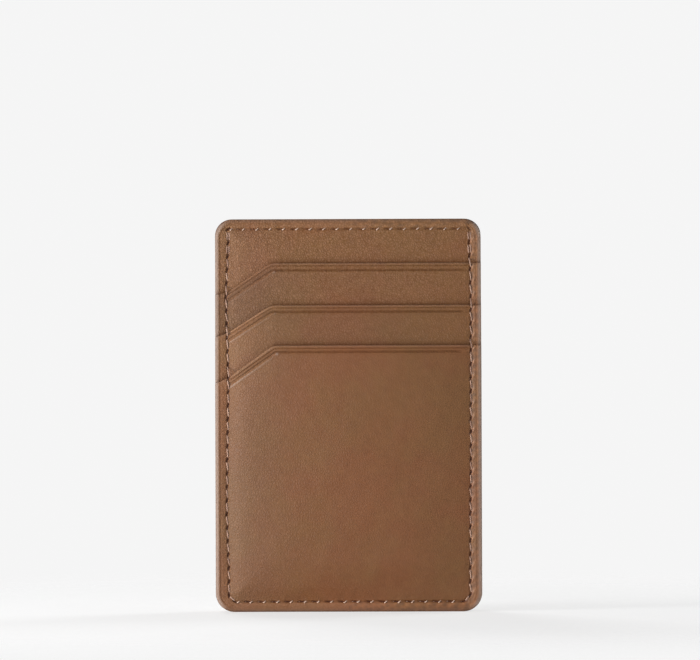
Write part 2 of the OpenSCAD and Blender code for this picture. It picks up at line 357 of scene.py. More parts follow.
def rim_pull(level, x, inset):
    """How far sewing holds a panel down: most at the rim, less on the right."""
    reach = RISE_STRAIGHT + RISE_TAIL - RISE_START / 2
    inside = np.clip(inset, 0, RISE_STRAIGHT)
    risen = np.where(inside < RISE_START, inside**2 / (2 * RISE_START), inside - RISE_START / 2)
    straight = 1 - risen / reach
    tail = np.exp(-np.clip(inset - RISE_STRAIGHT, 0, None) / RISE_TAIL)
    share = mixed((1, RIGHT_SHARE), ramp(x, -SEAM_X / 2, SEAM_X / 2))
    return RIM_PULL[level] * share * straight * tail


def crown(level, x, z):
    """How far a panel swells out between its seams."""
    swell = np.clip(1 - (x / SEAM_X) ** 2, 0, 1) * ramp(z, -SEAM_Z, CROWN_REACH - SEAM_Z)
    return CROWN[level] * swell * (1 if level else ramp(z, SEAM_Z, SEAM_Z - CROWN_REACH))


def face_shape(level, x, z, inset, on_front):
    """Swell of a panel between its seams, and the waves in its leather."""
    shape = crown(level, x, z) - rim_pull(level, x, inset) if on_front else 0 * x
    if on_front and level == 0:
        wrinkles = ripple(x, z, WRINKLES, stretch=WRINKLE_STRETCH)
        shape += BODY_RISE + wrinkles * ramp(x, *WRINKLED_X)
    shape += ripple(x, z, SLACK, level) * ramp(inset, 0, SLACK_START)
    shape += ripple(x, z, DENTS, level)
    shape += ripple(x, z, PUCKERS, level) * np.exp(-np.abs(inset) / PUCKER_REACH)
    return shape


def seam_shape(level, x, edge, inset, holes):
    """The seam's groove and holes, the tilt of the rim and the round of the edge."""
    slit, dimple, burr, flare = holes
    out = np.clip(-inset, 0, None)
    shape = np.where(x > SEAM_X, RIGHT_RIM_CURL * out**2, RIM_TILT * out)
    for deep, width in SEAM_GROOVE:
        shape -= deep * line(inset, 0, width)
    shape += BURR_RISE * burr + FLARE_RISE * flare - DIMPLE_DEEP * dimple - SLIT_DEEP * slit
    shape -= round_off(edge, EDGE_ROUND, EDGE_FALL[level])
    shape -= EDGE_CREASE_DEEP * line(edge, EDGE_CREASE, EDGE_CREASE_WIDTH)
    return shape


def edge_lines(x, z, edge, inset, on_side):
    """How dark the lines along the seam and the edge are: painted shade, and in the edge crease partly
    its own colour.
    """
    at_end = ramp(np.abs(z), *SEAM_END_BAND)
    seam_dark = mixed((SEAM_DARK, np.where(z > 0, TOP_SEAM_DARK, FOOT_SEAM_DARK)), at_end)
    at_doubled = on_side * ramp(z, DOUBLED_Z, DOUBLED_Z + DOUBLED_BLEND)
    left, right = (dark * line(edge, at, width) for dark, at, width in (LEFT_EDGE_DARK, RIGHT_EDGE_SHADE))
    return np.maximum.reduce([
        seam_dark * line(inset, 0, mixed(SEAM_LINE, at_end)),
        DOUBLED_DARK * at_doubled * line(inset, 0, DOUBLED_LINE),
        EDGE_CREASE_DARK * on_side * line(edge, EDGE_CREASE, EDGE_CREASE_LINE),
        END_EDGE_DARK * (1 - on_side) * line(edge, 0, END_EDGE_LINE),
        on_side * np.where(x > 0, right, left),
    ])


def mouth_marks(level, x, z, inset):
    """Relief, wear and painted highlights, painted light, and dark lines along a pocket's mouth."""
    mouth = mouth_distance(level, x, z)
    sewn = ramp(inset, 0, SEWN_BLEND)
    slant = on_slant(level, x)
    to_seam = np.clip((CUT_X[level] - x) / (CUT_X[level] + SEAM_X), 0, 1)
    crease_end = SEAM_X - CREASE_STOP[level]
    run_out = ramp(x, crease_end, crease_end - CREASE_FADE)
    shift = SLANT_SHIFT[level] * slant
    narrow = 1 - CREASE_CLOSE[level] * to_seam
    fold = (MOUTH_FOLD[level] + shift) * narrow
    crease = (MOUTH_CREASE[level] + shift) * narrow
    ridge = (fold + crease) / 2
    bead = line(mouth, 0, BEAD_WIDTH)
    strip = line(mouth, 0, crease, BROADER)
    hook = line(np.hypot(x - CUT_X[level] - HOOK_AT[0], mouth - crease - HOOK_AT[1]), 0, HOOK_R)

    folds = STRIP_RISE * line(mouth, ridge, STRIP_WIDTH)
    folds += ROLL_RISE * line(mouth, crease + mixed(ROLL_AT, slant), ROLL_WIDTH)
    folds -= FOLD_DEEP * line(mouth, fold, FOLD_WIDTH)
    folds -= CREASE_DEEP * run_out * line(mouth, crease, mixed(CREASE_WIDTH, slant))
    relief = sewn * mixed(CREASING, slant) * folds + HOOK_RISE * hook
    relief -= LIP_DROP * np.exp(-mouth / LIP_REACH) + round_off(mouth, MOUTH_ROUND, MOUTH_ROUND)

    # Pale bead from wear and painted highlight; painted highlights on the slant's roll and on the hook
    roll_highlight = ROLL_HIGHLIGHT[level] * slant * mixed(ROLL_HIGHLIGHT_RUN, to_seam)
    wear_and_highlight = np.maximum.reduce([
        mixed((BEAD_WEAR, SLANT_BEAD_HIGHLIGHT[level]), slant) * bead,
        sewn * roll_highlight * line(mouth, crease + ROLL_AT[1], ROLL_HIGHLIGHT_WIDTH),
        sewn * HOOK_HIGHLIGHT[level] * hook,
    ])

    # Painted light: sheen near the left end of a slant, and light on the bead and the strip below the
    # mouth
    light = SLANT_SHEEN[level] * ramp(x, *SLANT_SHEEN_X) * line(mouth, 0, SLANT_SHEEN_REACH)
    light += sewn * (BEAD_HIGHLIGHT[level] * (1 + slant) * bead + STRIP_PAINTED_LIGHT * (1 - slant) * strip)

    # Dark lines: fold and crease partly their own colour, partly painted shade; painted shade on the
    # slant's strip
    dark = mixed((FOLD_DARK, SLANT_FOLD_DARK[level]), slant) * line(mouth, fold, FOLD_WIDTH)
    crease_dark = mixed((CREASE_DARK, SLANT_CREASE_DARK[level]), slant)
    dark += crease_dark * run_out * line(mouth, crease, mixed(CREASE_LINE, slant))
    dark += STRIP_SHADE[level] * slant * (1 - to_seam) * line(mouth, ridge, STRIP_SHADE_WIDTH)
    return relief, wear_and_highlight, light, sewn * dark


def mouth_shade(level, x, z):
    """How dark the painted shade of a mouth makes the panel behind it, just above itself, less on the
    lit slant.
    """
    above = np.clip(-mouth_distance(level, x, z), 0, None)
    lit = SLANT_LIT * on_slant(level, x) * ramp(x, -SEAM_X, LIT_BLEND - SEAM_X)
    return SHADE_DARK * (1 - lit) * np.exp(-above / SHADE_REACH)


def panel_relief(level, x, z, edge, facing=1):
    """Height of a panel's outer face over its flat CAD face, and its marks.

    The marks are, in turn: wear and painted highlight, needle hole, dark line and painted shade.
    Last comes how much lighter and more olive the colour is, painted light and shade among it.
    """
    inset = seam_inset(x, z, level == 0)
    rim = ramp(-inset, 0, RIM_BLEND)
    leftward, rightward = ramp(x, *LEFT_X), ramp(x, *RIGHT_X)
    on_side = ramp(HALF_H - np.abs(z) - edge, 0, SIDE_BLEND)
    holes = hole_marks(x, z, facing)
    slit, flare = holes[0], holes[-1]

    relief = face_shape(level, x, z, inset, facing > 0) + seam_shape(level, x, edge, inset, holes)
    dark = edge_lines(x, z, edge, inset, on_side)
    # Pale edges and rims from wear and painted highlight; painted sheen on the left and painted
    # highlights on the flares
    wear_and_highlight = line(edge, 0, EDGE_PALE_LINE, BROAD) * mixed(EDGE_WEAR_AND_HIGHLIGHT, on_side)
    wear_and_highlight *= np.where(x > 0, RIGHT_EDGE_SHADED, 1)
    rim_wear_and_highlight = np.where(x > SEAM_X, RIGHT_RIM_HIGHLIGHT, RIM_WORN) * rim
    wear_and_highlight = np.maximum(wear_and_highlight, np.maximum(LEFT_SHEEN * leftward, rim_wear_and_highlight) + FLARE_PALE_HIGHLIGHT * flare)
    # Painted light and shade toward the sides, painted highlight on the flares, lighter rims, painted
    # sheen olive on the left
    light = LEFT_PAINTED_SHADING[level] * leftward + RIGHT_PAINTED_SHADING[level] * rightward + FLARE_BRIGHT_HIGHLIGHT * flare
    light += rim * (RIM_LIGHTER + ripple(x, z, RIM_CLOUDS, level) * (x > 0))
    sides = LEFT_SHEEN_OLIVE[level] * leftward + RIGHT_OLIVE[level] * rightward
    tint = mixed((sides, RIM_OLIVE), rim)

    # A mouth adds its relief, wear and painted highlights, painted light and dark lines
    if level:
        mouth_relief, mouth_wear_and_highlight, mouth_light, mouth_dark = mouth_marks(level, x, z, inset)
        relief += mouth_relief
        wear_and_highlight = np.maximum(wear_and_highlight, mouth_wear_and_highlight)
        light += mouth_light
        dark = np.maximum(dark, mouth_dark)
    # Painted shade of the next pocket's mouth on this panel
    if facing > 0 and level + 1 < len(PANELS):
        dark = np.maximum(dark, mouth_shade(level + 1, x, z))
    return relief, np.stack([wear_and_highlight, slit, dark], axis=-1), np.stack([light, tint], axis=-1)


def spread(start, stop, gap):
    return np.linspace(start, stop, max(2, round((stop - start) / gap) + 1))


def quarter_turn(radius, count):
    """Distances in from a rounded edge, evenly spaced round its curve."""
    return radius * (1 - np.cos(np.linspace(0, np.pi / 2, count)))


def edge_steps(seam):
    """Distances in from a sewn edge: close over its round and at the seam."""
    return np.unique(np.concatenate([
        quarter_turn(EDGE_ROUND, EDGE_TURNS),
        spread(EDGE_ROUND, CREASED_EDGE, CREASE_GAP),
        spread(CREASED_EDGE, seam - SEAM_BAND, RIM_GAP),
        spread(seam - SEAM_BAND, seam + SEAM_BAND, SEAM_GAP),
        spread(seam + SEAM_BAND, REACH, INNER_GAP),
    ]).round(DIGITS))


def mouth_steps():
    """Distances in from a mouth: close over its round and its creases."""
    return np.unique(np.concatenate([
        quarter_turn(MOUTH_ROUND, MOUTH_TURNS),
        spread(MOUTH_ROUND, CREASED_MOUTH, CREASE_GAP),
        spread(CREASED_MOUTH, REACH, INNER_GAP),
    ]).round(DIGITS))


def both_sides(steps, half, gap):
    """Grid lines from edge to edge: steps in from both, even gaps between."""
    inner = half - steps[-1]
    return np.concatenate([steps - half, spread(-inner, inner, gap)[1:-1], (half - steps)[::-1]])


def panel_grid(level, fine_to):
    """Points of a panel in columns and rows, close where its face shows."""
    end = edge_steps(SEAM_END)
    columns = both_sides(edge_steps(SEAM_SIDE), HALF_W, FACE_GAP)
    upper = mouth_steps() if level else end
    upper_z = np.stack([top_edge(level, columns, inset) for inset in upper])
    lower_z = np.repeat((end - HALF_H)[::-1, None], len(columns), axis=1)
    height = MOUTH_Z[level] + HALF_H - 2 * REACH
    fine = min(fine_to, height)
    share = np.concatenate([spread(0, fine, FACE_GAP)[1:], spread(fine, height, HIDDEN_GAP)[1:]])
    share = np.unique(share.round(DIGITS))[:-1, None] / height
    middle_z = upper_z[-1:] + (lower_z[:1] - upper_z[-1:]) * share
    z = np.concatenate([upper_z, middle_z, lower_z])[::-1]
    return np.repeat(columns[None, :], len(z), axis=0), z


def round_corners(x, z, half_w, half_h, radius, has_top):
    """Bends a square grid round the outline's corners."""
    a = np.clip(np.abs(x) - (half_w - radius), 0, None)
    b = np.clip(np.abs(z) - (half_h - radius), 0, None)
    if not has_top:
        b = np.where(z > 0, 0, b)
    reach, turn = np.maximum(a, b), np.arctan2(b, a)
    corner = (a > 0) & (b > 0)
    bent_x = np.sign(x) * (half_w - radius + reach * np.cos(turn))
    bent_z = np.sign(z) * (half_h - radius + reach * np.sin(turn))
    return np.where(corner, bent_x, x), np.where(corner, bent_z, z)


def sheet_grid(side, end, half_w, half_h, gap, radius):
    """Points of a whole sheet, and how far in from its edge each lies."""
    x, z = np.meshgrid(both_sides(side, half_w, gap), both_sides(end, half_h, gap))
    edge = np.minimum(half_w - np.abs(x), half_h - np.abs(z))
    return *round_corners(x, z, half_w, half_h, radius, True), edge


def pick(*pieces):
    """Selects these pieces only, with the first as the active one."""
    bpy.ops.object.select_all(action="DESELECT")
    for piece in pieces:
        piece.select_set(True)
    if pieces:
        bpy.context.view_layer.objects.active = pieces[0]


def mode(kind):
    bpy.ops.object.mode_set(mode=kind)


def place(mesh, points_mm):
    mesh.vertices.foreach_set("co", (points_mm * MM).astype(np.float32).ravel())
    mesh.update()


def points_of(mesh):
    points = np.empty(len(mesh.vertices) * 3, dtype=np.float32)
    mesh.vertices.foreach_get("co", points)
    return points.reshape(-1, 3).astype(float) / MM


def points_at(x, z, depth):
    return np.stack([x, -depth + 0 * x, z], axis=-1)


def grid_piece(name, x, z, depth):
    """A grid of faces bent to the given points."""
    rows, columns = x.shape
    pick()
    bpy.ops.mesh.primitive_grid_add(x_subdivisions=columns - 1, y_subdivisions=rows - 1, size=1)
    piece = bpy.context.active_object
    piece.name = piece.data.name = name
    place(piece.data, points_at(x, z, depth).reshape(-1, 3))
    return piece


def close_up(threshold_m):
    """Leaves edit mode, with doubled points merged and every face turned outward."""
    bpy.ops.mesh.select_all(action="SELECT")
    bpy.ops.mesh.remove_doubles(threshold=threshold_m)
    bpy.ops.mesh.normals_make_consistent(inside=False)
    mode("OBJECT")


def close_behind(piece, rings):
    """Turns the open rim of a sheet back through rings of points and fills it."""
    mesh = piece.data
    mode("EDIT")
    bpy.ops.mesh.select_mode(type="EDGE")
    bpy.ops.mesh.select_all(action="DESELECT")
    bpy.ops.mesh.select_non_manifold(
        extend=False, use_wire=False, use_boundary=True,
        use_multi_face=False, use_non_contiguous=False, use_verts=False,
    )
    rim = None
    for ring in rings:
        bpy.ops.mesh.extrude_region_move(TRANSFORM_OT_translate={"value": (0, 0, 0)})
        mode("OBJECT")
        picked = np.empty(len(mesh.vertices), dtype=bool)
        mesh.vertices.foreach_get("select", picked)
        points = points_of(mesh)
        if rim is None:
            rim = points[picked]
        points[picked] = ring(rim)
        place(mesh, points)
        mode("EDIT")
    bpy.ops.mesh.edge_face_add()
    close_up(threshold_m=1e-7)


def flat_ring(depth):
    """Points straight behind the rim, all at one depth."""
    def ring(rim):
        return points_at(rim[:, 0], rim[:, 2], depth)
    return ring


def inner_ring(level, inset):
    """Points of a panel's hidden side, this far in from its rim."""
    def ring(rim):
        x = np.clip(rim[:, 0], inset - HALF_W, HALF_W - inset)
        z = np.clip(rim[:, 2], inset - HALF_H, top_edge(level, x, inset)) if inset else rim[:, 2]
        depth = BACK[level]
        if level:
            depth = depth + crown(level, x, z) - rim_pull(level, x, seam_inset(x, z, False))
            depth -= LIP_DROP * np.exp(-np.clip(mouth_distance(level, x, z), 0, None) / LIP_REACH)
        return points_at(x, z, depth)
    return ring


def joined(pieces, name):
    """One piece made of several."""
    pick(*pieces)
    bpy.ops.object.join()
    piece = bpy.context.active_object
    piece.name = piece.data.name = name
    return piece


def smooth_shade(piece, degrees):
    pick(piece)
    bpy.ops.object.shade_smooth_by_angle(angle=math.radians(degrees))


def store(piece, name, values):
    """Keeps a number or a row of three for each point of a mesh."""
    kind, field = ("FLOAT_VECTOR", "vector") if values.ndim > 1 else ("FLOAT", "value")
    layer = piece.data.attributes.new(name, kind, "POINT")
    layer.data.foreach_set(field, values.astype(np.float32).ravel())


def store_marks(piece, marks, light, grain, dye=1.0, olive=0.0, leftward=0.0):
    """Keeps the outer face's marks, grain and dye, with its painted light and shade, on the mesh for its
    finish.
    """
    marks, light = marks.reshape(-1, 3), light.reshape(-1, 2)
    values = np.zeros((len(piece.data.vertices), 3))
    values[: len(marks)] = marks
    values[len(marks):, 0] = 1
    store(piece, "marks", values)
    side = np.clip(points_of(piece.data)[:, 0] / HALF_W, -1, 1)
    sided = grain * np.clip(1 - leftward * side, 0, None)
    values = np.stack([sided, dye + 0 * side, olive + 0 * side], axis=-1)
    values[: len(light), 1:] += light
    store(piece, "hide", values)


def fit_out(piece, node, finish):
    piece.data.materials.clear()
    piece.data.materials.append(finish)
    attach(piece, "root")
    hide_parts(node)


def leather_panel(level, fine_to, under, finish):
    """The body panel or a pocket, with its outer face forward."""
    name = PANELS[level]
    grid_x, grid_z = panel_grid(level, fine_to)
    edge = np.minimum(HALF_W - np.abs(grid_x), HALF_H + grid_z)
    if level == 0:
        edge = np.minimum(edge, HALF_H - grid_z)
    x, z = round_corners(grid_x, grid_z, HALF_W, HALF_H, CORNER_R, level == 0)
    relief, marks, light = panel_relief(level, x, z, edge)
    piece = grid_piece(name + "_leather", x, z, FACE[level] + relief)
    close_behind(piece, [inner_ring(level, inset) for inset in BACK_RINGS])
    store_marks(piece, marks, light, GRAIN[level], DYE[level], OLIVE[level], SIDE_GRAIN[level])
    smooth_shade(piece, SMOOTH)
    fit_out(piece, name, finish)
    cut = np.mean(top_edge(level, np.linspace(-HALF_W, HALF_W, SAMPLES)) + HALF_H) * 2 * HALF_W


def back_leather(finish):
    """The panel that closes the back, with its outer face turned to +Y."""
    outer, inner = depths("back_panel")
    side, end = edge_steps(SEAM_SIDE), edge_steps(SEAM_END)
    x, z, edge = sheet_grid(side, end, HALF_W, HALF_H, BACK_GAP, CORNER_R)
    relief, marks, light = panel_relief(0, x, z, edge, facing=-1)
    relief *= 1 - BACK_FLAT * ramp(seam_inset(x, z, True), *BACK_FLAT_BAND)
    piece = grid_piece("back_leather", x, z, outer - relief)
    close_behind(piece, [flat_ring(inner)])
    store_marks(piece, marks, light, BACK_GRAIN)
    smooth_shade(piece, SMOOTH)
    fit_out(piece, "back_panel", finish)


def seat(level, x, inset=0.0):
    """Depth of a panel's sewn face, on the seam or this far inside it."""
    return FACE[level] - rim_pull(level, x, inset) + (0 if level else BODY_RISE)


def side_strip(level, side):
    """Points of the strip along one side of a pocket."""
    columns = np.sort(side * (HALF_W - WELT_TUCK - np.array(SIDE_STEPS)))
    foot = FOOT_STEPS[-1] - HALF_H + FOOT_GAP
    rise = top_edge(level, columns, MOUTH_TUCK) - foot
    z = foot + rise * np.linspace(0, 1, STRIP_ROWS)[:, None]
    return np.repeat(columns[None, :], STRIP_ROWS, axis=0), z


def foot_strip():
    """Points of the strip along the foot, round both lower corners."""
    left = edge_steps(SEAM_SIDE) - HALF_W
    columns = np.concatenate([left, [0.0], -left[::-1]])
    x, z = np.meshgrid(columns, np.array(FOOT_STEPS) - HALF_H)
    x, z = round_corners(x, z, HALF_W, HALF_H, CORNER_R, False)
    return x * (1 - WELT_TUCK / HALF_W), z * (1 - WELT_TUCK / HALF_H)


def welt_strips(level, finish):
    """Two side strips and a foot strip that hold a pocket off what is behind it."""
    node = PANELS[level].replace("pocket", "welt")

    def behind(rim):
        x, z = rim[:, 0], rim[:, 2]
        return points_at(x, z, seat(level - 1, x, seam_inset(x, z, level == 1)) + WELT_GAP)

    pieces = []
    for number, (x, z) in enumerate([side_strip(level, -1), side_strip(level, 1), foot_strip()]):
        edge = np.minimum(HALF_W - np.abs(x), HALF_H + z)
        front = BACK[level] - rim_pull(level, x, seam_inset(x, z, False)) - WELT_GAP
        piece = grid_piece(f"{node}_{number}", x, z, front - round_off(edge, WELT_ROUND, WELT_ROUND))
        close_behind(piece, [behind])
        pieces.append(piece)
    piece = joined(pieces, node + "_leather")
    store_marks(piece, np.zeros((0, 3)), np.zeros((0, 2)), BACK_GRAIN)
    smooth_shade(piece, WELT_SMOOTH)
    fit_out(piece, node, finish)


def foam_pad(finish):
    """The adhesive pad: a thin foam sheet with soft edges."""
    low, high = box_mm("adhesive_pad")
    steps = np.concatenate([
        quarter_turn(PAD_SOFT, PAD_TURNS), spread(PAD_SOFT, PAD_RIM, PAD_RIM_GAP)[1:],
    ])
    x, z, edge = sheet_grid(steps, steps, high[0], high[2], PAD_GAP, PAD_CORNER_R)
    uneven = np.clip(PAD_WAVES[0] + ripple(x, z, PAD_WAVES), 0, None) * ramp(edge, 0, PAD_START)
    piece = grid_piece("adhesive_foam", x, z, round_off(edge, PAD_SOFT, PAD_SOFT) + uneven)
    close_behind(piece, [flat_ring(-low[1])])
    smooth_shade(piece, SMOOTH)
    fit_out(piece, "adhesive_pad", finish)


def one_stitch(tick):
    """A short thread along X that dives at both ends, with Z outward.

    A tick shows only near its first end, where it leans across the seam.
    """
    u, v = np.meshgrid(np.linspace(-1, 1, ALONG + 1), np.linspace(0, 1, AROUND + 1))
    if tick:
        s = HALF_STITCH * (2 * ((u + 1) / 2) ** TICK_CROWDING - 1)
        ends = ramp(np.abs(s), *TICK_DIVE)
        sink = TICK_SET + TICK_SINK * ends + TICK_HIDE * ramp(s, *TICK_END)
        lean = TICK_LEAN * (ramp(s, *LEAN_RUN) - 0.5) * (1 - ramp(s, *LEAN_BACK))
    else:
        s = HALF_STITCH * np.sign(u) * np.abs(u) ** LONG_CROWDING
        ends = ramp(np.abs(s), *LONG_DIVE)
        sink = LONG_SET + LONG_SINK * ends
        lean = 0 * s
    radius = THREAD_R * (1 - THREAD_TAPER * ends) * (np.abs(u) < TIP)
    turn = 2 * np.pi * v
    side = radius * np.cos(turn) + lean
    piece = grid_piece("stitch", s, radius * np.sin(turn) - sink, -side)
    mode("EDIT")
    close_up(threshold_m=1e-6)
    bpy.ops.object.shade_smooth()
    # Painted highlight on a tick's rising first end, kept as pale
    store(piece, "pale", tick * (1 - ramp(points_of(piece.data)[:, 0], *TICK_END)))
    return piece


def level_at(point):
    """Level of the panel that is outermost at a point."""
    return sum(point[1] < top_edge(level, point[0]) for level in range(1, len(PANELS)))


def copy_of(piece):
    pick(piece)
    bpy.ops.object.duplicate()
    return bpy.context.active_object


def lay_stitch(stitch, middle, depth, way, stretch, outward):
    """Turns a stitch along the seam and puts it on the leather."""
    x_axis = Vector((way[0], 0, way[1]))
    z_axis = Vector((0, -outward, 0))
    turn = Matrix((x_axis * stretch, z_axis.cross(x_axis), z_axis)).transposed()
    spot = Vector((middle[0], -depth, middle[1])) * MM
    stitch.matrix_world = Matrix.Translation(spot) @ turn.to_4x4()


def step_down(stitch, drop, low_side):
    """Lets one end of a stitch down to the panel behind."""
    points = points_of(stitch.data)
    points[:, 2] -= drop * ramp(points[:, 0] * low_side, *STEP_RUN)
    place(stitch.data, points)


def sewn_thread(node, name, outward, finish):
    """Copies of a stitch from hole to hole, on the front or on the back.

    The seam starts and ends with two doubled stitches at the top of each side.
    """
    long_stitch, tick_stitch = one_stitch(False), one_stitch(True)
    back_seat = depths("back_panel")[0]
    copies = []
    for k, start in enumerate(HOLES):
        end = HOLES[(k + 1) % len(HOLES)]
        run, middle = end - start, (start + end) / 2
        length = np.linalg.norm(run)
        tick = abs(run[0]) > length - LEVEL_RUN
        doubled = not tick and middle[1] > DOUBLED_Z
        lean = STITCH_TILT[k] + (0 if tick else STITCH_TURN * (DOUBLED_TURN if doubled else 1))
        heading = run / length * (np.sign(run[0]) if tick else 1)
        way = turned(heading, lean * outward)
        levels = (level_at(start), level_at(end))
        depth = seat(max(levels), middle[0]) if outward > 0 else back_seat
        depth += STITCH_LIFT[k] * outward
        for shift in (-DOUBLED_SHIFT, DOUBLED_SHIFT) if doubled else (0,):
            stitch = copy_of(tick_stitch if tick else long_stitch)
            if outward > 0 and levels[0] != levels[1]:
                drop = abs(seat(levels[0], middle[0]) - seat(levels[1], middle[0]))
                step_down(stitch, drop, np.sign(levels[0] - levels[1]))
            beside = middle + shift * np.array((-way[1], way[0]))
            lay_stitch(stitch, beside, depth, way, length / STITCH_PITCH, outward)
            copies.append(stitch)
    piece = joined(copies, name)
    bpy.ops.object.transform_apply(location=True, rotation=True, scale=True)
    bpy.data.objects.remove(long_stitch)
    bpy.data.objects.remove(tick_stitch)
    fit_out(piece, node, finish)


class Value:
    """A shader socket that can stand in a sum; each step adds a Math node."""

    def __init__(self, finish, socket):
        self.finish, self.socket = finish, socket

    def step(self, operation, first, second):
        return self.finish.node("ShaderNodeMath", {"operation": operation}, {0: first, 1: second})

    def __add__(self, other):
        return self.step("ADD", self, other)

    def __sub__(self, other):
        return self.step("SUBTRACT", self, other)

    def __mul__(self, other):
        return self.step("MULTIPLY", self, other)

    def __rsub__(self, other):
        return self.step("SUBTRACT", other, self)

    __radd__, __rmul__ = __add__, __mul__


class Finish:
    """The nodes of a material or of the world."""

    def __init__(self, owner):
        owner.use_nodes = True
        self.owner, self.tree = owner, owner.node_tree
        self.tree.nodes.clear()

    def node(self, kind, settings=None, sockets=None, output=0):
        """Adds a node, sets it up, fills its sockets and gives one output."""
        made = self.tree.nodes.new(kind)
        for name, value in (settings or {}).items():
            setattr(made, name, value)
        for name, value in (sockets or {}).items():
            if isinstance(value, Value):
                self.tree.links.new(value.socket, made.inputs[name])
            else:
                made.inputs[name].default_value = value
        return Value(self, made.outputs[output]) if made.outputs else None

    def spot(self, kind="Object"):
        return self.node("ShaderNodeTexCoord", output=kind)

    def stored(self, name, output="Vector"):
        return self.node("ShaderNodeAttribute", {"attribute_name": name}, output=output)

    def split(self, vector, axes="XYZ"):
        return [self.node("ShaderNodeSeparateXYZ", {}, {0: vector}, output=axis) for axis in axes]

    def noise(self, where, kind, output=0):
        """Noise of a kind: its scale, detail and roughness."""
        scale, detail, roughness = kind
        return self.node("ShaderNodeTexNoise", {}, {
            "Vector": where, "Scale": scale, "Detail": detail, "Roughness": roughness,
        }, output)

    def cells(self, where, scale, feature="F1"):
        return self.node("ShaderNodeTexVoronoi", {"feature": feature}, {"Vector": where, "Scale": scale})

    def vector_math(self, operation, sockets, output=0):
        return self.node("ShaderNodeVectorMath", {"operation": operation}, sockets, output)

    def mix(self, share, first, second):
        """A mix of two colours, which the node takes in sockets 6 and 7."""
        settings = {"data_type": "RGBA", "clamp_factor": True}
        return self.node("ShaderNodeMix", settings, {0: share, 6: first, 7: second}, output=2)

    def shade(self, colour, factor):
        return self.vector_math("SCALE", {0: colour, "Scale": factor})

    def between(self, value, low, high):
        """How far a value lies from low to high, kept from 0 to 1."""
        return self.node("ShaderNodeMapRange", {"interpolation_type": "SMOOTHSTEP"}, {
            "Value": value, "From Min": low, "From Max": high,
        })

    def bump(self, height, strength, distance_m):
        sockets = {"Strength": strength, "Distance": distance_m, "Height": height}
        return self.node("ShaderNodeBump", {}, sockets)

    def surface(self, sockets):
        shader = self.node("ShaderNodeBsdfPrincipled", {}, sockets)
        self.node("ShaderNodeOutputMaterial", {}, {"Surface": shader})
        return self.owner


def new_finish(name):
    return Finish(bpy.data.materials.new(name))


def rgb(red, green, blue):
    """An sRGB colour of 0 to 255 as the linear colour that a shader takes."""
    def linear(value):
        value /= 255
        return value / 12.92 if value <= 0.04045 else ((value + 0.055) / 1.055) ** 2.4
    return (linear(red), linear(green), linear(blue), 1.0)


# Leather: noises as scale, detail and roughness, and the scales of its cells
CLOUD, BLOTCH, SCUFF = (55, 2, 0.45), (230, 4, 0.6), (560, 3, 0.65)
WANDER, MOTTLE, SPECK, FIBRE = (800, 2, 0.5), (1300, 2, 0.6), (3600, 2, 0.6), (1, 2, 0.6)
FIBRE_SCALE, WANDER_M = (2400, 1100, 1100), (0.0005, 0.0005, 0.0005)
PEBBLE_SCALE, NICK_SCALE, CELL_EDGE = 1700, 3900, 0.3

# Leather: what each noise and mark adds to tone, dye, flecks, gloss and bump
MEAN, TONE_BLOTCH, TONE_RANGE = 0.5, 0.5, (0.24, 0.76)
DYE_BASE, DYE_BLOTCH, DYE_SCUFF = 0.76, 0.2, 0.26
FLECK_PEBBLE, FLECK_NICK, FLECK_MEAN = 0.16, 0.06, 0.06
FLECK_SPECK, FLECK_FIBRE, FLECK_MOTTLE = 0.3, 0.25, 0.25
# How far the pale wear and painted highlight, the dark lines and painted shade, and the holes' painted
# shade cover the colour
WEAR_AND_HIGHLIGHT_COVER, DARK_COVER, HOLE_COVER = 0.85, 0.42, 0.9
ROUGH_BASE, ROUGH_BLOTCH, ROUGH_SPECK, ROUGH_WORN, ROUGH_DARK = 0.38, 0.12, 0.1, 0.12, 0.3
BUMP_BASE, BUMP_GRAIN, BUMP_STRENGTH, BUMP_M = 0.24, 0.29, 1.0, 0.00012
BUMP_PEBBLE, BUMP_NICK, BUMP_FIBRE, BUMP_SPECK = 0.55, 0.2, 0.5, 0.25
SPECULAR = 0.34
# Brown of the painted shade in needle slits, brown of the dark creases and painted shade, and tan of the
# flecks
HOLE_SHADE_BROWN, CREASE_AND_SHADE_BROWN, FLECK_TAN = rgb(70, 32, 22), rgb(58, 24, 4), rgb(127, 99, 80)[:3]


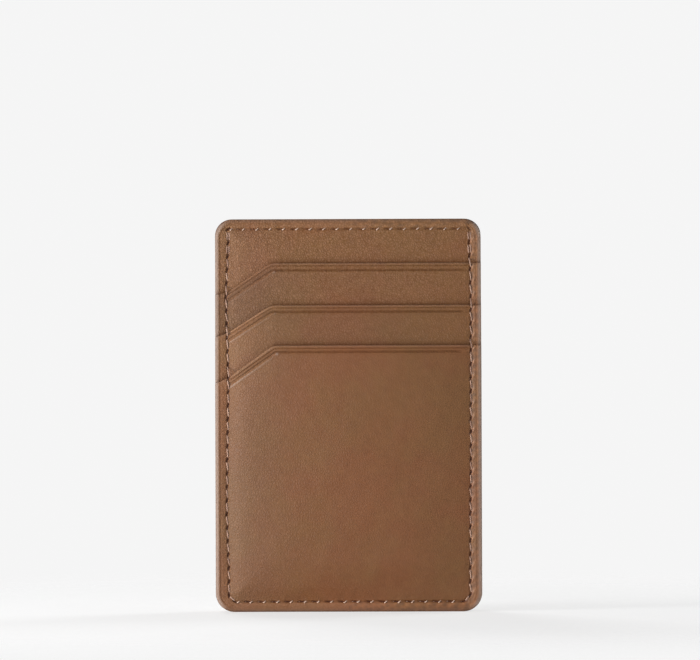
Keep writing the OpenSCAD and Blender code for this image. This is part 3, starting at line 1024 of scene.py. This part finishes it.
def leather_finish(name, red_tan, olive_tan, edge_tan):
    """Smooth dyed leather: cloudy dye, fine grain, pale wear and painted highlights, dark creases and
    painted shade.
    """
    leather = new_finish(name)
    spot = leather.spot()
    wear_and_highlight, hole, dark = leather.split(leather.stored("marks"))
    grain, strength, olive = leather.split(leather.stored("hide"))
    cloud, blotch, scuff, mottle, speck = (
        leather.noise(spot, kind) for kind in (CLOUD, BLOTCH, SCUFF, MOTTLE, SPECK)
    )
    drawn = leather.node("ShaderNodeMapping", {}, {"Vector": spot, "Scale": FIBRE_SCALE})
    fibre = leather.noise(drawn, FIBRE)
    wander = leather.noise(spot, WANDER, "Color")
    bent = leather.vector_math("MULTIPLY_ADD", {0: wander, 1: WANDER_M, 2: spot})
    pebbles, nicks = (
        leather.between(leather.cells(bent, scale, "DISTANCE_TO_EDGE"), 0, CELL_EDGE)
        for scale in (PEBBLE_SCALE, NICK_SCALE)
    )
    tone = leather.between(cloud + (blotch - MEAN) * TONE_BLOTCH, *TONE_RANGE)
    dye = leather.mix(tone + olive, red_tan, olive_tan)
    # Strength holds each panel's brightness with its painted light and shade
    dye = leather.shade(dye, strength * (DYE_BASE + DYE_BLOTCH * blotch + DYE_SCUFF * scuff))
    fleck = FLECK_PEBBLE * pebbles + FLECK_NICK * nicks - FLECK_MEAN
    for share, noise in ((FLECK_SPECK, speck), (FLECK_FIBRE, fibre), (FLECK_MOTTLE, mottle)):
        fleck = fleck + share * (noise - MEAN)
    dye = leather.vector_math("MULTIPLY_ADD", {0: strength * grain * fleck, 1: FLECK_TAN, 2: dye})
    # Pale wear and painted highlight, dark creases and painted shade, and painted shade in the needle
    # slits
    dye = leather.mix(wear_and_highlight * WEAR_AND_HIGHLIGHT_COVER, dye, edge_tan)
    dye = leather.mix(dark * DARK_COVER, dye, CREASE_AND_SHADE_BROWN)
    dye = leather.mix(hole * HOLE_COVER, dye, HOLE_SHADE_BROWN)
    rough = ROUGH_BASE + ROUGH_BLOTCH * blotch + ROUGH_SPECK * speck
    rough = rough - ROUGH_WORN * wear_and_highlight + ROUGH_DARK * dark
    height = BUMP_PEBBLE * pebbles + BUMP_NICK * nicks + BUMP_FIBRE * fibre + BUMP_SPECK * speck
    height = (BUMP_BASE + BUMP_GRAIN * grain) * height
    return leather.surface({
        "Base Color": dye, "Roughness": rough, "Normal": leather.bump(height, BUMP_STRENGTH, BUMP_M),
        "Specular IOR Level": SPECULAR,
    })


# Thread: turns of its strands, noises, and how much each counts
TWIST_ALONG, TWIST_AROUND = 5, 2
HAIR, THREAD_SHADE, THREAD_RANGE = (5200, 2, 0.6), (330, 2, 0.5), (0.35, 0.65)
# Brightness, painted shade and light across the twisted strands, the hair's tone, and how much a tick's
# painted highlight covers
THREAD_BASE, THREAD_TWIST_SHADE, THREAD_HAIR, TICK_HIGHLIGHT_COVER = 0.8, 0.16, 0.26, 0.7
TWIST_BUMP, HAIR_BUMP, THREAD_BUMP, THREAD_BUMP_M = 0.5, 0.4, 0.8, 0.00005
THREAD_ROUGH, THREAD_SHEEN = 0.6, 0.2
# Brown and tan of the thread, and the pale of the ticks' painted highlight
THREAD_BROWN, THREAD_TAN, THREAD_TICK_HIGHLIGHT = rgb(154, 118, 100), rgb(188, 152, 131), rgb(226, 198, 178)


def thread_finish():
    """Thread of twisted strands, wound along each stitch's own grid."""
    thread = new_finish("twisted_thread")
    spot = thread.spot()
    along, around = thread.split(thread.spot("UV"), "XY")
    turns = (along * TWIST_ALONG + around * TWIST_AROUND) * (2 * math.pi)
    twist = thread.node("ShaderNodeMath", {"operation": "SINE"}, {0: turns})
    hair = thread.noise(spot, HAIR)
    tone = thread.between(thread.noise(spot, THREAD_SHADE), *THREAD_RANGE)
    colour = thread.mix(tone, THREAD_BROWN, THREAD_TAN)
    # Painted highlight on the ticks' first ends
    colour = thread.mix(thread.stored("pale", "Fac") * TICK_HIGHLIGHT_COVER, colour, THREAD_TICK_HIGHLIGHT)
    # Painted shade between the twisted strands and light on them, and the hair's tone
    colour = thread.shade(colour, THREAD_BASE + THREAD_TWIST_SHADE * twist + THREAD_HAIR * hair)
    bump = thread.bump(TWIST_BUMP * twist + HAIR_BUMP * hair, THREAD_BUMP, THREAD_BUMP_M)
    return thread.surface({
        "Base Color": colour, "Roughness": THREAD_ROUGH, "Normal": bump, "Sheen Weight": THREAD_SHEEN,
    })


# Board and foam: noise, how rough they are and what the noise adds, and bump
BOARD_FLECK, BOARD_ROUGH, BOARD_BUMP = (1600, 3, 0.6), (0.6, 0.1), 0.3
FOAM_HAZE, FOAM_ROUGH, FOAM_BUMP, FOAM_CELL = (160, 3, 0.6), (0.44, 0.06), 0.25, 2100
PLAIN_RANGE, PLAIN_BUMP_M = (0.3, 0.7), 0.0001
BOARD_DARK, BOARD_LIGHT = rgb(92, 62, 46), rgb(116, 82, 62)
FOAM_DARK, FOAM_LIGHT = rgb(221, 220, 215), rgb(226, 225, 220)


def plain_finish(finish, noise, dark, light, rough, bump):
    """Two close tones, spread by a noise."""
    colour = finish.mix(finish.between(noise, *PLAIN_RANGE), dark, light)
    gloss = rough[0] + rough[1] * noise
    return finish.surface({"Base Color": colour, "Roughness": gloss, "Normal": bump})


def board_finish():
    board = new_finish("painted_board")
    fleck = board.noise(board.spot(), BOARD_FLECK)
    bump = board.bump(fleck, BOARD_BUMP, PLAIN_BUMP_M)
    return plain_finish(board, fleck, BOARD_DARK, BOARD_LIGHT, BOARD_ROUGH, bump)


def foam_finish():
    foam = new_finish("adhesive_foam")
    spot = foam.spot()
    haze = foam.noise(spot, FOAM_HAZE)
    bump = foam.bump(foam.cells(spot, FOAM_CELL), FOAM_BUMP, PLAIN_BUMP_M)
    return plain_finish(foam, haze, FOAM_DARK, FOAM_LIGHT, FOAM_ROUGH, bump)


# Floor and world; the floor's lengths are in metres
WHITE, FLOOR_GREY = (1, 1, 1, 1), (0.82, 0.82, 0.82, 1)
FLOOR_R, FLOOR_SIDES, FLOOR_FADE = 0.6, 96, (0.06, 0.24)
FLOOR_GLOW, GLOW_SHARE = 1.14, 0.5
WORLD_LIGHT, WORLD_SHOWN = 0.09, 0.915


def pale_floor(height):
    """A pale floor that fades into the background away from the wallet."""
    pick()
    bpy.ops.mesh.primitive_circle_add(
        vertices=FLOOR_SIDES, radius=FLOOR_R, fill_type="NGON", location=(0, 0, height),
    )
    floor = bpy.context.active_object
    floor.name = "floor"
    bpy.ops.object.transform_apply(location=True)
    paint = new_finish("pale_floor")
    flat = paint.vector_math("MULTIPLY", {0: paint.spot(), 1: (1, 1, 0)})
    fade = paint.between(paint.vector_math("LENGTH", {0: flat}, "Value"), *FLOOR_FADE)
    matt = paint.node("ShaderNodeBsdfDiffuse", {}, {"Color": FLOOR_GREY})
    glow = paint.node("ShaderNodeEmission", {}, {"Color": WHITE, "Strength": FLOOR_GLOW})
    seen = paint.node("ShaderNodeLightPath", output="Is Camera Ray")
    pale = paint.node("ShaderNodeMixShader", {}, {0: seen * GLOW_SHARE, 1: matt, 2: glow})
    clear = paint.node("ShaderNodeBsdfTransparent")
    blend = paint.node("ShaderNodeMixShader", {}, {0: fade, 1: pale, 2: clear})
    paint.node("ShaderNodeOutputMaterial", {}, {"Surface": blend})
    floor.data.materials.append(paint.owner)


def pale_world(light, background):
    """A dim world that looks pale to the camera and in reflections."""
    world = bpy.data.worlds.new("studio")
    bpy.context.scene.world = world
    room = Finish(world)
    camera_ray, glossy_ray, clear_ray = (
        room.node("ShaderNodeLightPath", output=f"Is {kind} Ray")
        for kind in ("Camera", "Glossy", "Transmission")
    )
    share = room.between(camera_ray + glossy_ray + clear_ray, 0, 1)
    lit, shown = (
        room.node("ShaderNodeBackground", {}, {"Color": WHITE, "Strength": strength})
        for strength in (light, background)
    )
    blend = room.node("ShaderNodeMixShader", {}, {0: share, 1: lit, 2: shown})
    room.node("ShaderNodeOutputWorld", {}, {"Surface": blend})


def add_object(name, data):
    made = bpy.data.objects.new(name, data)
    bpy.context.scene.collection.objects.link(made)
    return made


def soft_box(name, place_m, size_m, power, lights=True, gleams=True):
    """A square lamp aimed at the origin, with or without plain light and gleam."""
    lamp = bpy.data.lights.new(name, "AREA")
    lamp.shape, lamp.size, lamp.energy = "SQUARE", size_m, power
    holder = add_object(name, lamp)
    holder.visible_diffuse, holder.visible_glossy = lights, gleams
    holder.location = place_m
    holder.rotation_mode = "QUATERNION"
    holder.rotation_quaternion = (-Vector(place_m)).to_track_quat("-Z", "Y")


# Camera: a long lens from far off, level with the floor and square to the mouths
LENS, SENSOR = 300.0, 36.0
VIEW_WIDTH, VIEW_DEPTH = 168.27, 5
CAMERA_X, CAMERA_Z, CAMERA_ROLL = 0.45, 20.45, math.radians(0.2)
camera_data = bpy.data.cameras.new("camera")
camera_data.lens, camera_data.sensor_width = LENS, SENSOR
camera = add_object("camera", camera_data)
camera.location = Vector((CAMERA_X, -(LENS / SENSOR * VIEW_WIDTH + VIEW_DEPTH), CAMERA_Z)) * MM
camera.rotation_euler = (math.pi / 2, CAMERA_ROLL, 0)
bpy.context.scene.camera = camera
bpy.context.scene.view_settings.view_transform = "Standard"

# Pieces and their finishes
tan_leather = leather_finish("tan_leather", rgb(125, 78, 45), rgb(120, 81, 45), rgb(168, 146, 132))
back_hide = leather_finish("back_leather", rgb(112, 72, 50), rgb(106, 75, 52), rgb(112, 78, 58))
edge_leather = leather_finish("edge_leather", rgb(110, 72, 52), rgb(102, 72, 52), rgb(118, 82, 62))
tan_thread = thread_finish()

for level in range(len(PANELS)):
    leather_panel(level, FINE_TO[level], UNDER[level], tan_leather)
back_leather(back_hide)
for level in range(1, len(PANELS)):
    welt_strips(level, edge_leather)
foam_pad(foam_finish())
sewn_thread("needle_thread", "needle_stitches", 1, tan_thread)
sewn_thread("bobbin_thread", "bobbin_stitches", -1, tan_thread)

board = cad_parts["stiffener_board"]
board.data.materials.clear()
board.data.materials.append(board_finish())

# Surroundings
pale_floor(-HALF_H * MM)
pale_world(WORLD_LIGHT, WORLD_SHOWN)
soft_box("key", (-0.42, -0.18, 0.05), size_m=0.16, power=2.4, gleams=False)
soft_box("sheen", (-0.38, -0.32, 0.05), size_m=0.16, power=1.15, lights=False)
soft_box("right", (0.5, -0.3, 0.0), size_m=0.3, power=0.5)
soft_box("front", (-0.25, -0.45, 0.05), size_m=0.14, power=1.0)
soft_box("back", (-0.3, 0.75, 0.45), size_m=0.4, power=4.0)
soft_box("back_right", (0.65, 0.5, 0.3), size_m=0.4, power=4.5)
